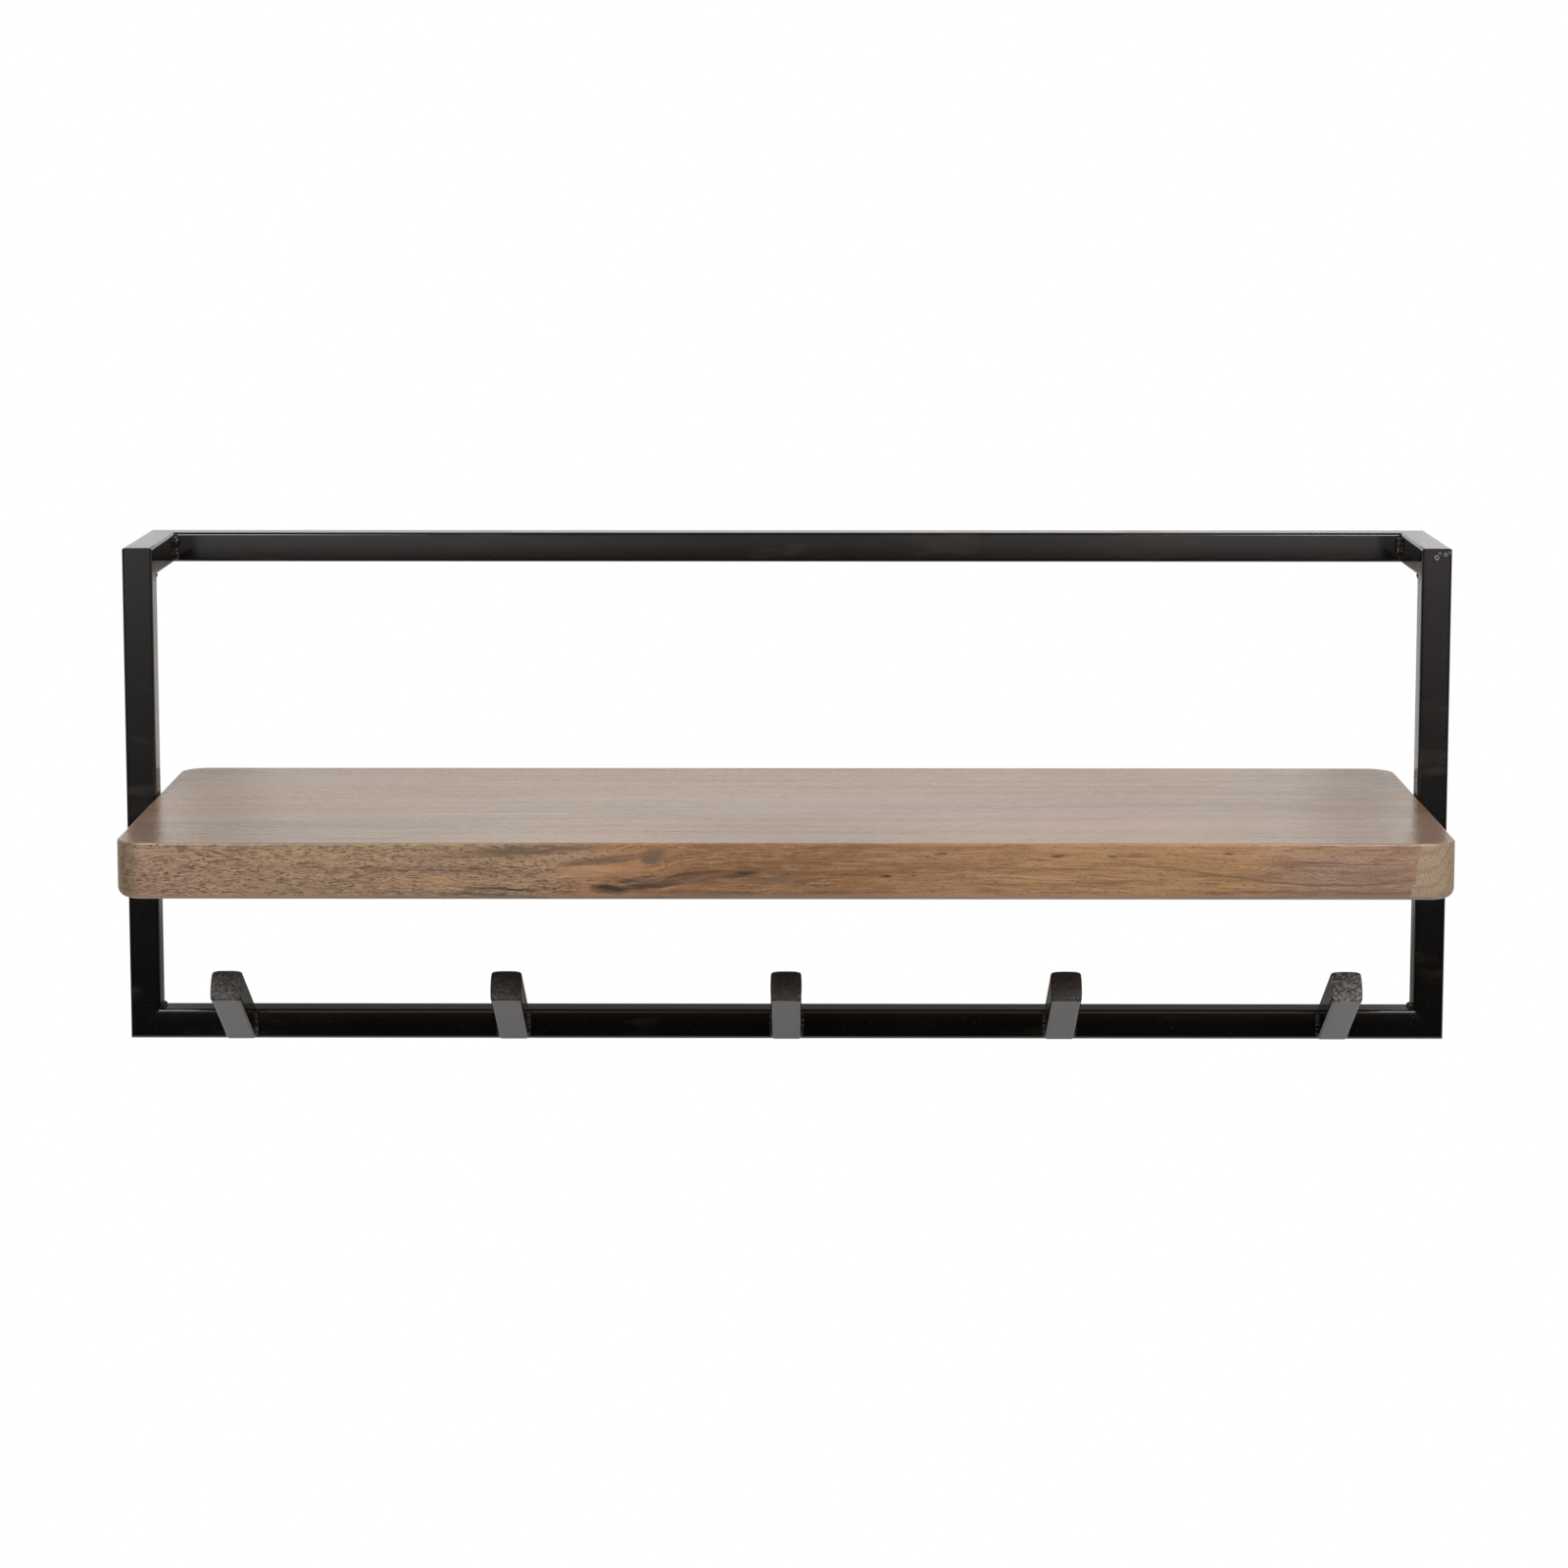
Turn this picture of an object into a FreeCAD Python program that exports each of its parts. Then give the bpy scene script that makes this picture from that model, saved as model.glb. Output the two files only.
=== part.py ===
import FreeCAD, Part
import math
import os

# Wall-mounted coat rack with a wooden shelf, in millimetres.
# The origin is the middle of the rear bar's wall face: +Z is up, the wall plane is Y = 0,
# the rack stands out from the wall towards -Y, and X runs along the rack.

os.makedirs("parts", exist_ok=True)

# Frame of welded square steel tube
FRAME_WIDTH = 880.0
FRAME_HEIGHT = 331.0
FRAME_DEPTH = 118.0
TUBE = 20.0
TUBE_WALL = 1.5
TUBE_CORNER = 2.2

# Wooden shelf, edge-glued from boards
SHELF_THICKNESS = 36.5
SHELF_DEPTH = 287.5
SHELF_ABOVE_RAIL_BOTTOM = 128.0
SHELF_END_GAP = 0.5
SHELF_CORNER = 17.5
SHELF_TOP_ROUND = 1.4
SHELF_BOTTOM_ROUND = 6.5
FRONT_BOARD_DEPTH = 110.0
MIDDLE_BOARD_DEPTH = 81.5

# Hooks of the same tube, each closed by a plug
HOOK_COUNT = 5
HOOK_PITCH = 183.0
HOOK_SLOPE_DEG = 31.2
HOOK_REACH = 70.0
PLUG_FLANGE = 2.4
PLUG_CORNER = 3.2
PLUG_DOME_RADIUS = 70.0
PLUG_RIM_ROUND = 0.9
PLUG_CORE = 13.0
PLUG_CORE_LENGTH = 11.0
PLUG_FIN_THICKNESS = 1.0
PLUG_FIN_STARTS = (2.0, 5.0, 8.0)
PLUG_FIN_GAP = 0.1

# Keyhole slots in the rear bar, for screws in the wall
KEYHOLE_SPACING = 406.4
KEYHOLE_ENTRY_RADIUS = 4.5
KEYHOLE_SLOT_RADIUS = 2.3
KEYHOLE_ENTRY_Z = -3.0
KEYHOLE_TRAVEL = 7.0

# Steel angles under the shelf's ends, and the wood screws through them
BRACKET_LEG = 20.0
BRACKET_THICKNESS = 3.0
BRACKET_LENGTH = 100.0
BRACKET_ROOT = 1.5
SCREW_SPACING = 70.0
SCREW_SHANK_RADIUS = 2.0
SCREW_LENGTH = 25.0
SCREW_POINT = 5.0
SCREW_POINT_RADIUS = 0.4
SCREW_HEAD_RADIUS = 4.2
SCREW_HEAD_HEIGHT = 2.6
SCREW_HEAD_ROUND = 1.6
SCREW_RECESS_WIDTH = 1.1
SCREW_RECESS_LENGTH = 4.6
SCREW_RECESS_DEPTH = 1.5
BRACKET_HOLE_RADIUS = 2.4
PILOT_RADIUS = 2.05
PILOT_DEPTH = 24.0

# Weld beads
UPPER_BEAD = 4.0
LOWER_BEAD = 2.8
REAR_BEAD = 3.0
HOOK_BEAD = 2.4
HOOK_TOP_BEAD_DEPTH = 5.0
BRACKET_BEAD = 3.0

# Planes and lines of the frame
HALF_WIDTH = FRAME_WIDTH / 2
INNER_X = HALF_WIDTH - TUBE
TOP_Z = TUBE / 2
BOTTOM_Z = TOP_Z - FRAME_HEIGHT
FRONT_Y = -FRAME_DEPTH
UPRIGHT_BACK_Y = FRONT_Y + TUBE
REAR_BAR_FRONT_Y = -TUBE
ARM_BOTTOM_Z = TOP_Z - TUBE
RAIL_TOP_Z = BOTTOM_Z + TUBE
FLAT = TUBE - 2 * TUBE_CORNER

# Planes of the shelf
SHELF_BOTTOM_Z = BOTTOM_Z + SHELF_ABOVE_RAIL_BOTTOM
SHELF_TOP_Z = SHELF_BOTTOM_Z + SHELF_THICKNESS
SHELF_FRONT_Y = -SHELF_DEPTH
SHELF_END_X = INNER_X - SHELF_END_GAP
FRONT_SEAM_Y = SHELF_FRONT_Y + FRONT_BOARD_DEPTH
BACK_SEAM_Y = FRONT_SEAM_Y + MIDDLE_BOARD_DEPTH

UPRIGHT_MID_Y = FRONT_Y + TUBE / 2
SCREW_X = INNER_X - BRACKET_THICKNESS - (BRACKET_LEG - BRACKET_THICKNESS) / 2
SCREW_YS = (UPRIGHT_MID_Y - SCREW_SPACING / 2, UPRIGHT_MID_Y + SCREW_SPACING / 2)

MARGIN = 1.0
TOLERANCE = 1e-6
X_AXIS = FreeCAD.Vector(1, 0, 0)
Y_AXIS = FreeCAD.Vector(0, 1, 0)
Z_AXIS = FreeCAD.Vector(0, 0, 1)
NO_TURN = FreeCAD.Vector(0, 0, 0)


def save(name, shape):
    """Write one sub-part, checked to be made of sound solids."""
    if not shape.isValid() or not shape.Solids:
        raise ValueError(name + " is not a valid solid")
    shape.exportStep("parts/" + name + ".step")
    print(name, len(shape.Solids), round(shape.Volume, 1))


def block(low, high):
    """A box from its lowest corner to its highest."""
    size = [b - a for a, b in zip(low, high)]
    return Part.makeBox(size[0], size[1], size[2], FreeCAD.Vector(*low))


def prism(points, along):
    """A closed outline pushed along a vector."""
    corners = [FreeCAD.Vector(*point) for point in points]
    return Part.Face(Part.makePolygon(corners + corners[:1])).extrude(along)


def edges_along(shape, direction):
    """The straight edges of a shape that run along a direction."""
    straight = [edge for edge in shape.Edges if isinstance(edge.Curve, Part.Line)]
    return [edge for edge in straight if abs(abs(edge.Curve.Direction.dot(direction)) - 1) < TOLERANCE]


def mirrored(shape):
    """The same shape on the other side of the middle plane, X = 0."""
    return shape.mirror(NO_TURN, X_AXIS)


def rounded_bar(low, high, direction, radius):
    """A solid bar that fills the box from low to high, with its long edges rounded."""
    bar = block(low, high)
    return bar.makeFillet(radius, edges_along(bar, direction))


def square_tube(low, high, direction):
    """A hollow square tube with rounded long edges that fills the box from low to high."""
    bore_low = [a + (0 if direction[i] else TUBE_WALL) for i, a in enumerate(low)]
    bore_high = [b - (0 if direction[i] else TUBE_WALL) for i, b in enumerate(high)]
    bore = rounded_bar(bore_low, bore_high, direction, TUBE_CORNER - TUBE_WALL)
    return rounded_bar(low, high, direction, TUBE_CORNER).cut(bore)


def right_upright():
    """Mitred to the top arm at its head and to the bottom rail at its foot."""
    tube = square_tube((INNER_X, FRONT_Y, BOTTOM_Z), (HALF_WIDTH, UPRIGHT_BACK_Y, TOP_Z), Z_AXIS)
    head = prism(
        [(INNER_X - MARGIN, FRONT_Y, BOTTOM_Z), (INNER_X - MARGIN, FRONT_Y, TOP_Z),
         (INNER_X - MARGIN, UPRIGHT_BACK_Y, ARM_BOTTOM_Z), (INNER_X - MARGIN, UPRIGHT_BACK_Y, BOTTOM_Z)],
        X_AXIS * (TUBE + 2 * MARGIN))
    foot = prism(
        [(HALF_WIDTH, FRONT_Y - MARGIN, TOP_Z), (HALF_WIDTH, FRONT_Y - MARGIN, BOTTOM_Z),
         (INNER_X, FRONT_Y - MARGIN, RAIL_TOP_Z), (INNER_X, FRONT_Y - MARGIN, TOP_Z)],
        Y_AXIS * (TUBE + 2 * MARGIN))
    return tube.common(head).common(foot)


def right_top_arm():
    """Runs back from the upright to the wall, mitred at both ends."""
    tube = square_tube((INNER_X, FRONT_Y, ARM_BOTTOM_Z), (HALF_WIDTH, 0, TOP_Z), Y_AXIS)
    front = prism(
        [(INNER_X - MARGIN, FRONT_Y, TOP_Z), (INNER_X - MARGIN, UPRIGHT_BACK_Y, ARM_BOTTOM_Z),
         (INNER_X - MARGIN, 0, ARM_BOTTOM_Z), (INNER_X - MARGIN, 0, TOP_Z)],
        X_AXIS * (TUBE + 2 * MARGIN))
    rear = prism(
        [(HALF_WIDTH, FRONT_Y, ARM_BOTTOM_Z - MARGIN), (HALF_WIDTH, 0, ARM_BOTTOM_Z - MARGIN),
         (INNER_X, REAR_BAR_FRONT_Y, ARM_BOTTOM_Z - MARGIN), (INNER_X, FRONT_Y, ARM_BOTTOM_Z - MARGIN)],
        Z_AXIS * (TUBE + 2 * MARGIN))
    return tube.common(front).common(rear)


def bottom_rail():
    """Joins the feet of the uprights and carries the hooks."""
    tube = square_tube(
        (-HALF_WIDTH, FRONT_Y, BOTTOM_Z), (HALF_WIDTH, UPRIGHT_BACK_Y, RAIL_TOP_Z), X_AXIS)
    mitres = prism(
        [(-HALF_WIDTH, FRONT_Y - MARGIN, BOTTOM_Z), (HALF_WIDTH, FRONT_Y - MARGIN, BOTTOM_Z),
         (INNER_X, FRONT_Y - MARGIN, RAIL_TOP_Z), (-INNER_X, FRONT_Y - MARGIN, RAIL_TOP_Z)],
        Y_AXIS * (TUBE + 2 * MARGIN))
    return tube.common(mitres)


def keyhole(x):
    """A cutter through the rear bar's wall side: a round entry with a narrow slot above it."""
    start = -(TUBE_WALL + MARGIN)
    length = TUBE_WALL + 2 * MARGIN
    hang_z = KEYHOLE_ENTRY_Z + KEYHOLE_TRAVEL
    entry_centre = FreeCAD.Vector(x, start, KEYHOLE_ENTRY_Z)
    hang_centre = FreeCAD.Vector(x, start, hang_z)
    entry = Part.makeCylinder(KEYHOLE_ENTRY_RADIUS, length, entry_centre, Y_AXIS)
    hang = Part.makeCylinder(KEYHOLE_SLOT_RADIUS, length, hang_centre, Y_AXIS)
    slot = block(
        (x - KEYHOLE_SLOT_RADIUS, start, KEYHOLE_ENTRY_Z),
        (x + KEYHOLE_SLOT_RADIUS, start + length, hang_z))
    return entry.fuse([hang, slot])


def rear_top_bar():
    """Lies against the wall, mitred to both arms, with two keyhole slots in its wall side."""
    tube = square_tube((-HALF_WIDTH, REAR_BAR_FRONT_Y, ARM_BOTTOM_Z), (HALF_WIDTH, 0, TOP_Z), X_AXIS)
    mitres = prism(
        [(-HALF_WIDTH, 0, ARM_BOTTOM_Z - MARGIN), (HALF_WIDTH, 0, ARM_BOTTOM_Z - MARGIN),
         (INNER_X, REAR_BAR_FRONT_Y, ARM_BOTTOM_Z - MARGIN),
         (-INNER_X, REAR_BAR_FRONT_Y, ARM_BOTTOM_Z - MARGIN)],
        Z_AXIS * (TUBE + 2 * MARGIN))
    bar = tube.common(mitres)
    for side in (-1, 1):
        bar = bar.cut(keyhole(side * KEYHOLE_SPACING / 2))
    return bar


def shelf():
    """The whole shelf: a slab with round corners in plan, a soft top rim and a fuller bottom rim."""
    low = (-SHELF_END_X, SHELF_FRONT_Y, SHELF_BOTTOM_Z)
    high = (SHELF_END_X, 0, SHELF_TOP_Z)
    slab = rounded_bar(low, high, Z_AXIS, SHELF_CORNER)
    for level, radius in ((SHELF_TOP_Z, SHELF_TOP_ROUND), (SHELF_BOTTOM_Z, SHELF_BOTTOM_ROUND)):
        rim = [
            edge for edge in slab.Edges
            if abs(edge.BoundBox.ZMin - level) < TOLERANCE and abs(edge.BoundBox.ZMax - level) < TOLERANCE]
        slab = slab.makeFillet(radius, rim)
    return slab


def pilot_holes():
    """Blind holes in the shelf's underside for the four screws."""
    holes = []
    for x in (-SCREW_X, SCREW_X):
        for y in SCREW_YS:
            foot = FreeCAD.Vector(x, y, SHELF_BOTTOM_Z - MARGIN)
            holes.append(Part.makeCylinder(PILOT_RADIUS, PILOT_DEPTH + MARGIN, foot, Z_AXIS))
    return Part.makeCompound(holes)


def shelf_board(slab, front_y, back_y):
    """The stretch of the shelf between two glued seams."""
    low = (-HALF_WIDTH, front_y, SHELF_BOTTOM_Z - MARGIN)
    high = (HALF_WIDTH, back_y, SHELF_TOP_Z + MARGIN)
    return slab.common(block(low, high)).cut(pilot_holes())


def hook_placement(x):
    """Puts a bar modelled along +X, with its underside at Z = 0, on the rail at the hook's slope.

    The underside's line starts on the rail's front face, at its lower edge, and runs up and forward.
    """
    slope = FreeCAD.Rotation(Y_AXIS, -HOOK_SLOPE_DEG)
    forward = FreeCAD.Rotation(Z_AXIS, -90)
    return FreeCAD.Placement(FreeCAD.Vector(x, FRONT_Y, BOTTOM_Z), forward.multiply(slope))


def hook_length():
    """Length of the hook's underside, from the rail to the tip."""
    return HOOK_REACH / math.cos(math.radians(HOOK_SLOPE_DEG))


def hook_tube_end():
    """Where the hook's tube stops and its plug begins."""
    return hook_length() - PLUG_FLANGE


def hook(x):
    """A sloping tube, cut square at its tip and upright where it is welded to the rail."""
    overrun = TUBE
    low = (-overrun, -TUBE / 2, 0)
    tube = square_tube(low, (hook_tube_end(), TUBE / 2, TUBE), X_AXIS)
    tube.Placement = hook_placement(x)
    behind_face = block((x - TUBE, FRONT_Y, BOTTOM_Z - TUBE), (x + TUBE, 0, TOP_Z))
    return tube.cut(behind_face)


def hook_plug(x):
    """A moulded plug: a domed square head on the tube's end, with a finned core inside the tube."""
    seat = hook_tube_end()
    tip = hook_length()
    head = rounded_bar((seat, -TUBE / 2, 0), (tip, TUBE / 2, TUBE), X_AXIS, PLUG_CORNER)
    dome = Part.makeSphere(PLUG_DOME_RADIUS, FreeCAD.Vector(tip - PLUG_DOME_RADIUS, 0, TUBE / 2))
    head = head.common(dome)
    rim = [edge for edge in head.Edges if edge.BoundBox.XMin > seat + PLUG_RIM_ROUND / 2]
    plug = head.makeFillet(PLUG_RIM_ROUND, rim)
    half_core = PLUG_CORE / 2
    plug = plug.fuse(block(
        (seat - PLUG_CORE_LENGTH, -half_core, TUBE / 2 - half_core),
        (seat, half_core, TUBE / 2 + half_core)))
    half_fin = TUBE / 2 - TUBE_WALL - PLUG_FIN_GAP
    for start in PLUG_FIN_STARTS:
        plug = plug.fuse(rounded_bar(
            (seat - start - PLUG_FIN_THICKNESS, -half_fin, TUBE / 2 - half_fin),
            (seat - start, half_fin, TUBE / 2 + half_fin),
            X_AXIS, TUBE_CORNER - TUBE_WALL))
    plug = plug.removeSplitter()
    plug.Placement = hook_placement(x)
    return plug


def right_bracket():
    """A steel angle: one leg on the upright's inner face, the other under the shelf."""
    front_y = UPRIGHT_MID_Y - BRACKET_LENGTH / 2
    low_x = INNER_X - BRACKET_LEG
    low_z = SHELF_BOTTOM_Z - BRACKET_LEG
    outline = [
        (low_x, front_y, SHELF_BOTTOM_Z),
        (INNER_X, front_y, SHELF_BOTTOM_Z),
        (INNER_X, front_y, low_z),
        (INNER_X - BRACKET_THICKNESS, front_y, low_z),
        (INNER_X - BRACKET_THICKNESS, front_y, SHELF_BOTTOM_Z - BRACKET_THICKNESS),
        (low_x, front_y, SHELF_BOTTOM_Z - BRACKET_THICKNESS)]
    angle = prism(outline, Y_AXIS * BRACKET_LENGTH)
    root = [
        edge for edge in edges_along(angle, Y_AXIS)
        if abs(edge.CenterOfMass.x - (INNER_X - BRACKET_THICKNESS)) < TOLERANCE
        and abs(edge.CenterOfMass.z - (SHELF_BOTTOM_Z - BRACKET_THICKNESS)) < TOLERANCE]
    angle = angle.makeFillet(BRACKET_ROOT, root)
    for y in SCREW_YS:
        foot = FreeCAD.Vector(SCREW_X, y, low_z)
        angle = angle.cut(Part.makeCylinder(BRACKET_HOLE_RADIUS, BRACKET_LEG + MARGIN, foot, Z_AXIS))
    return angle


def shelf_screw(x, y):
    """A pan-head wood screw that points up, with a crossed recess in its head."""
    seat_z = SHELF_BOTTOM_Z - BRACKET_THICKNESS
    crown_z = seat_z - SCREW_HEAD_HEIGHT
    centre = FreeCAD.Vector(x, y, seat_z)
    head = Part.makeCylinder(
        SCREW_HEAD_RADIUS, SCREW_HEAD_HEIGHT, FreeCAD.Vector(x, y, crown_z), Z_AXIS)
    rim = [edge for edge in head.Edges if abs(edge.BoundBox.ZMax - crown_z) < TOLERANCE]
    head = head.makeFillet(SCREW_HEAD_ROUND, rim)
    for length_x, length_y in (
            (SCREW_RECESS_LENGTH, SCREW_RECESS_WIDTH),
            (SCREW_RECESS_WIDTH, SCREW_RECESS_LENGTH)):
        head = head.cut(block(
            (x - length_x / 2, y - length_y / 2, crown_z),
            (x + length_x / 2, y + length_y / 2, crown_z + SCREW_RECESS_DEPTH)))
    straight = SCREW_LENGTH - SCREW_POINT
    shank = Part.makeCylinder(SCREW_SHANK_RADIUS, straight, centre, Z_AXIS)
    point = Part.makeCone(
        SCREW_SHANK_RADIUS, SCREW_POINT_RADIUS, SCREW_POINT, centre + Z_AXIS * straight, Z_AXIS)
    return head.fuse([shank, point]).removeSplitter()


def bead(corner, along, length, radius, first, second):
    """A quarter-round weld bead in the corner between two faces.

    It starts at corner, runs for length along a direction, and reaches out by radius along first
    and second.
    """
    start = corner + first * radius
    middle = corner + (first + second) * (radius / math.sqrt(2))
    end = corner + second * radius
    outline = Part.Wire([
        Part.LineSegment(corner, start).toShape(),
        Part.Arc(start, middle, end).toShape(),
        Part.LineSegment(end, corner).toShape()])
    return Part.Face(outline).extrude(along * length)


def rear_corner_bead():
    """Upright bead between the right arm's inner face and the rear bar's front face."""
    corner = FreeCAD.Vector(INNER_X, REAR_BAR_FRONT_Y, -FLAT / 2)
    return bead(corner, Z_AXIS, FLAT, REAR_BEAD, X_AXIS * -1, Y_AXIS * -1)


def upper_corner_bead():
    """Bead under the right arm, where it meets the upright's back face."""
    corner = FreeCAD.Vector(INNER_X + TUBE_CORNER, UPRIGHT_BACK_Y, ARM_BOTTOM_Z)
    return bead(corner, X_AXIS, FLAT, UPPER_BEAD, Y_AXIS, Z_AXIS * -1)


def lower_corner_bead():
    """Bead in the corner between the right upright's inner face and the rail's top face."""
    corner = FreeCAD.Vector(INNER_X, FRONT_Y + TUBE_CORNER, RAIL_TOP_Z)
    return bead(corner, Y_AXIS, FLAT, LOWER_BEAD, X_AXIS * -1, Z_AXIS)


def hook_beads(x):
    """Beads down both sides of a hook's foot, and one that closes its tube above the rail."""
    beads = []
    rail = rounded_bar(
        (x - TUBE, FRONT_Y, BOTTOM_Z), (x + TUBE, UPRIGHT_BACK_Y, RAIL_TOP_Z), X_AXIS, TUBE_CORNER)
    for side in (-1, 1):
        corner = FreeCAD.Vector(x + side * TUBE / 2, FRONT_Y, BOTTOM_Z + TUBE_CORNER)
        beads.append(bead(corner, Z_AXIS, FLAT, HOOK_BEAD, X_AXIS * side, Y_AXIS * -1))
    foot_height = TUBE / math.cos(math.radians(HOOK_SLOPE_DEG))
    left_x = x - FLAT / 2
    top = prism(
        [(left_x, FRONT_Y, RAIL_TOP_Z - TUBE_CORNER), (left_x, FRONT_Y, BOTTOM_Z + foot_height),
         (left_x, FRONT_Y + HOOK_TOP_BEAD_DEPTH, RAIL_TOP_Z),
         (left_x, FRONT_Y + HOOK_TOP_BEAD_DEPTH, RAIL_TOP_Z - TUBE_CORNER)],
        X_AXIS * FLAT)
    return beads + [top.cut(rail)]


def bracket_beads():
    """Beads in the two grooves between the right upright's rounded edges and its bracket."""
    beads = []
    low_z = SHELF_BOTTOM_Z - BRACKET_LEG
    upright = rounded_bar(
        (INNER_X, FRONT_Y, low_z), (HALF_WIDTH, UPRIGHT_BACK_Y, SHELF_BOTTOM_Z), Z_AXIS, TUBE_CORNER)
    for edge_y, outward in ((FRONT_Y + TUBE_CORNER, -1), (UPRIGHT_BACK_Y - TUBE_CORNER, 1)):
        corner = FreeCAD.Vector(INNER_X, edge_y, low_z)
        whole = bead(corner, Z_AXIS, BRACKET_LEG, BRACKET_BEAD, X_AXIS, Y_AXIS * outward)
        beads.append(whole.cut(upright))
    return beads


def both_sides(shapes):
    """Shapes on the right and their mirror images on the left."""
    return Part.makeCompound(shapes + [mirrored(shape) for shape in shapes])


def save_frame():
    upright = right_upright()
    arm = right_top_arm()
    save("right_upright", upright)
    save("left_upright", mirrored(upright))
    save("right_top_arm", arm)
    save("left_top_arm", mirrored(arm))
    save("bottom_rail", bottom_rail())
    save("rear_top_bar", rear_top_bar())
    save("rear_corner_welds", both_sides([rear_corner_bead()]))
    save("upper_corner_welds", both_sides([upper_corner_bead()]))
    save("lower_corner_welds", both_sides([lower_corner_bead()]))
    save("bracket_welds", both_sides(bracket_beads()))


def save_shelf():
    slab = shelf()
    save("shelf_board_front", shelf_board(slab, SHELF_FRONT_Y - MARGIN, FRONT_SEAM_Y))
    save("shelf_board_middle", shelf_board(slab, FRONT_SEAM_Y, BACK_SEAM_Y))
    save("shelf_board_back", shelf_board(slab, BACK_SEAM_Y, MARGIN))
    bracket = right_bracket()
    save("right_shelf_bracket", bracket)
    save("left_shelf_bracket", mirrored(bracket))
    screws = [shelf_screw(x, y) for x in (-SCREW_X, SCREW_X) for y in SCREW_YS]
    save("shelf_screws", Part.makeCompound(screws))


def save_hooks():
    welds = []
    for number in range(HOOK_COUNT):
        x = (number - (HOOK_COUNT - 1) / 2) * HOOK_PITCH
        save("hook_" + str(number + 1), hook(x))
        save("hook_plug_" + str(number + 1), hook_plug(x))
        welds += hook_beads(x)
    save("hook_welds", Part.makeCompound(welds))


save_frame()
save_shelf()
save_hooks()
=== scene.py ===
import math
import random

import bmesh
import bpy
from mathutils import Euler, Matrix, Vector


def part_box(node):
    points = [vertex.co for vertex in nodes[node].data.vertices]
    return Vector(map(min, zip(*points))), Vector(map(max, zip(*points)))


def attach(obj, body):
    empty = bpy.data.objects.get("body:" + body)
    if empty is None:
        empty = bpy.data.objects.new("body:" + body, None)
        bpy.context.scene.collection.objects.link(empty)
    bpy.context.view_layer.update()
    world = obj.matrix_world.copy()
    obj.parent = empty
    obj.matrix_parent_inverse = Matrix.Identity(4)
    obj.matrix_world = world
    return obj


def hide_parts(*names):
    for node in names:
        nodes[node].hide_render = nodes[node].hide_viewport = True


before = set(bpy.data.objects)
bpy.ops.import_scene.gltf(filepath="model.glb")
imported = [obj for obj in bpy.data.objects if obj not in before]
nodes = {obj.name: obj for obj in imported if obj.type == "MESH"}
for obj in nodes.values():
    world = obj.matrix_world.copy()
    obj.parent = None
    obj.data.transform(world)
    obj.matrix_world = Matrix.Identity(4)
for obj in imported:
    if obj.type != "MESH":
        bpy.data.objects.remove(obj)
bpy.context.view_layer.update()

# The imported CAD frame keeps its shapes. This script gives every piece its finish, turns the plain
# weld beads into hand-laid ones, and sets the camera, the light and the floor.

MM = 0.001

# Where things are, from the frame
SHELF_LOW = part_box("shelf_board_front")[0]
SHELF_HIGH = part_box("shelf_board_back")[1]
SHELF_FRONT = SHELF_LOW.y
SHELF_BOTTOM = SHELF_LOW.z
SHELF_TOP = SHELF_HIGH.z
SHELF_HALF_LENGTH = SHELF_HIGH.x
RAIL_LOW, RAIL_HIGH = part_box("bottom_rail")
FRAME_HALF_WIDTH = RAIL_HIGH.x
TUBE = RAIL_HIGH.z - RAIL_LOW.z
INNER_X = FRAME_HALF_WIDTH - TUBE
TOP_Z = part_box("rear_top_bar")[1].z

# Camera: a long lens a little above the rack, looking slightly down
CAMERA_PLACE = Vector((0.0102, -2.6935, 0.2900))
CAMERA_PITCH = 0.1204
CAMERA_YAW = -0.0046
CAMERA_LENS_MM = 90.0
CAMERA_SHIFT_Y = -0.12
CAMERA_REACH = 50.0

# Light
LIT_POINT = Vector((0.0, -0.1, -0.15))
SOFTBOX_WIDTH = 0.7
SOFTBOX_HEIGHT = 0.7
SOFTBOX_GLOW = 10.0
SOFTBOX_DISTANCE = 2.0
SOFTBOX_TURN_DEG = 31.0
SOFTBOX_RISE_DEG = 36.0
STRIP_WIDTH = 0.25
STRIP_HEIGHT = 0.9
STRIP_WATTS = 5.0
STRIP_OFFSET = Vector((2.2, -0.9, 0.45))
SKY_LOW = -0.30
SKY_HIGH = 0.90

# Stage
WALL_GAP = 0.0005
WALL_REACH = 3.0
WALL_TOP = 0.03
WALL_CLEAR = 0.003
# Painted shade on the wall: full darkening within WALL_NEAR_RAIL of the rail's top, none beyond
# WALL_FAR_FROM_RAIL.
WALL_NEAR_RAIL = 0.02
WALL_FAR_FROM_RAIL = 0.08
WALL_SHADE_BY_RAIL = (0.36, 0.36, 0.35)
FLOOR_Z = -3.2
FLOOR_RADIUS = 3.6
FLOOR_SIDES = 96
FLOOR_GLOW = 0.85
CLOUD_SCALE = 3.0

# Hooks and plugs
HOOKS = 5
HOOK_SLOPE_DEG = 31.2
HOOK_REACH = 70.0 * MM
PLUG_FLANGE = 2.4 * MM
PLUG_CORNER = 3.3 * MM
PLUG_RIM = 1.1 * MM
PLUG_BULGE = 0.018
PLUG_SHOULDER = 0.9 * MM
PLUG_TURNS = 96
RIM_STEPS = 6
RIM_TURN_DEG = 80.0
DOME_STEPS = 14

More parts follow.
